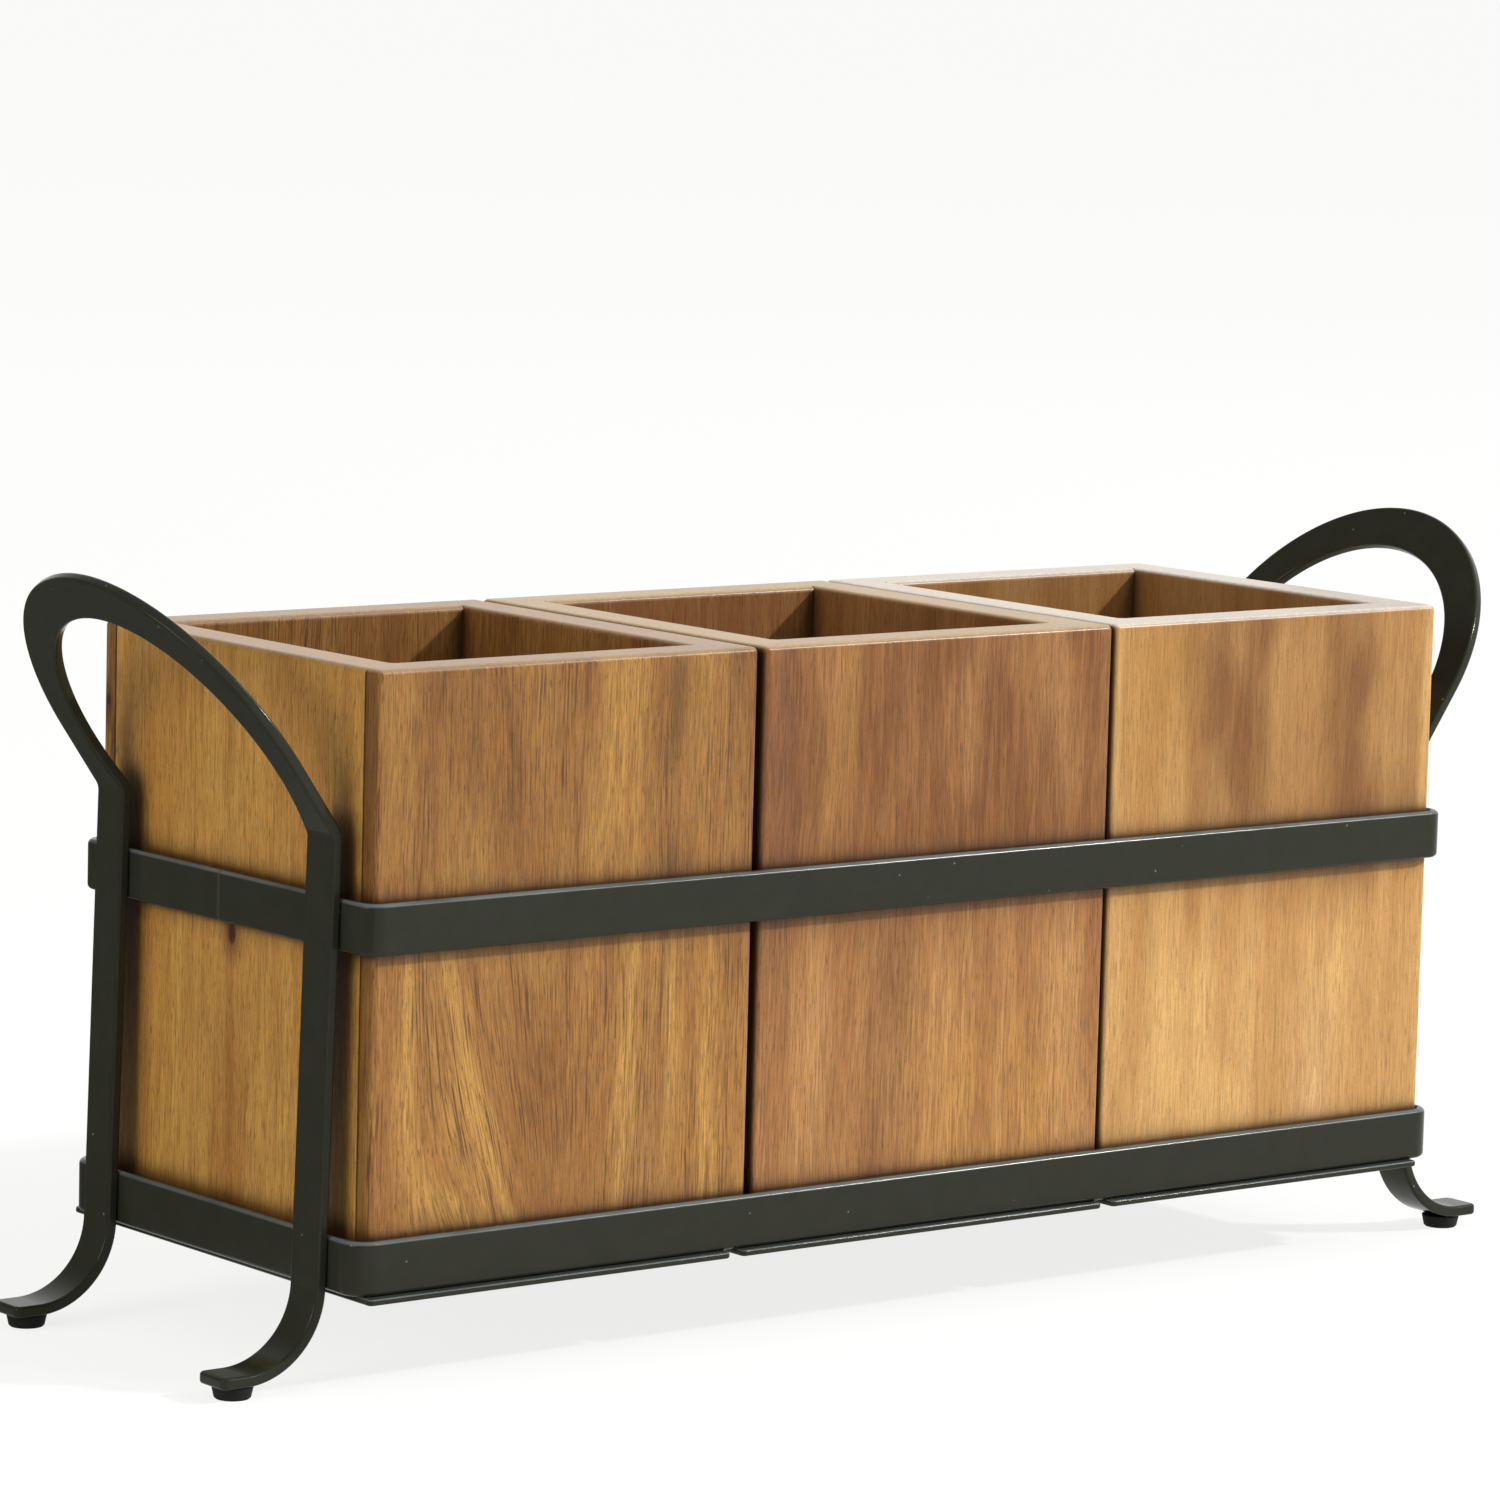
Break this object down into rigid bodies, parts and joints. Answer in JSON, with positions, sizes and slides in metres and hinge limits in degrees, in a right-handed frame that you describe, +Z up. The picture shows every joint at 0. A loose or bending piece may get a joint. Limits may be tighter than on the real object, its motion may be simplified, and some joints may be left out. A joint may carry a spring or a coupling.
{
  "type": "utensil caddy",
  "caption": "Utensil caddy: loose open-topped wooden bins in a row, held by a black flat-bar steel frame with arched end handles and outward curled feet.",
  "frame": {"origin": "on the surface the caddy stands on, under the middle of the frame", "axes": "+X along the row of bins to the right, -Y to the front, +Z up"},
  "size_m": [0.3304, 0.0994, 0.146],
  "materials": {
    "left_bin_wood": "oiled, golden brown with dark streaks",
    "middle_bin_wood": "oiled, reddish brown",
    "right_bin_wood": "oiled, light golden",
    "floor_panel_wood": "oiled",
    "black_steel": "satin black powder coat",
    "black_rubber": "matt"
  },
  "bodies": {
    "frame": {"base_band": "black_steel", "mid_band": "black_steel", "left_base_plate": "black_steel", "middle_base_plate": "black_steel", "right_base_plate": "black_steel", "left_handle_frame": "black_steel", "right_handle_frame": "black_steel", "front_left_pad": "black_rubber", "back_left_pad": "black_rubber", "front_right_pad": "black_rubber", "back_right_pad": "black_rubber"},
    "left_bin": {"left_bin_front_board": "left_bin_wood", "left_bin_back_board": "left_bin_wood", "left_bin_left_board": "left_bin_wood", "left_bin_right_board": "left_bin_wood", "left_bin_floor_panel": "floor_panel_wood"},
    "middle_bin": {"middle_bin_front_board": "middle_bin_wood", "middle_bin_back_board": "middle_bin_wood", "middle_bin_left_board": "middle_bin_wood", "middle_bin_right_board": "middle_bin_wood", "middle_bin_floor_panel": "floor_panel_wood"},
    "right_bin": {"right_bin_front_board": "right_bin_wood", "right_bin_back_board": "right_bin_wood", "right_bin_left_board": "right_bin_wood", "right_bin_right_board": "right_bin_wood", "right_bin_floor_panel": "floor_panel_wood"}
  },
  "joints": [
    {"name": "left_bin_lift", "type": "slide", "parent": "frame", "child": "left_bin", "axis": [0, 0, 1], "range_m": [0, 0.14]},
    {"name": "middle_bin_lift", "type": "slide", "parent": "frame", "child": "middle_bin", "axis": [0, 0, 1], "range_m": [0, 0.14]},
    {"name": "right_bin_lift", "type": "slide", "parent": "frame", "child": "right_bin", "axis": [0, 0, 1], "range_m": [0, 0.14]}
  ]
}
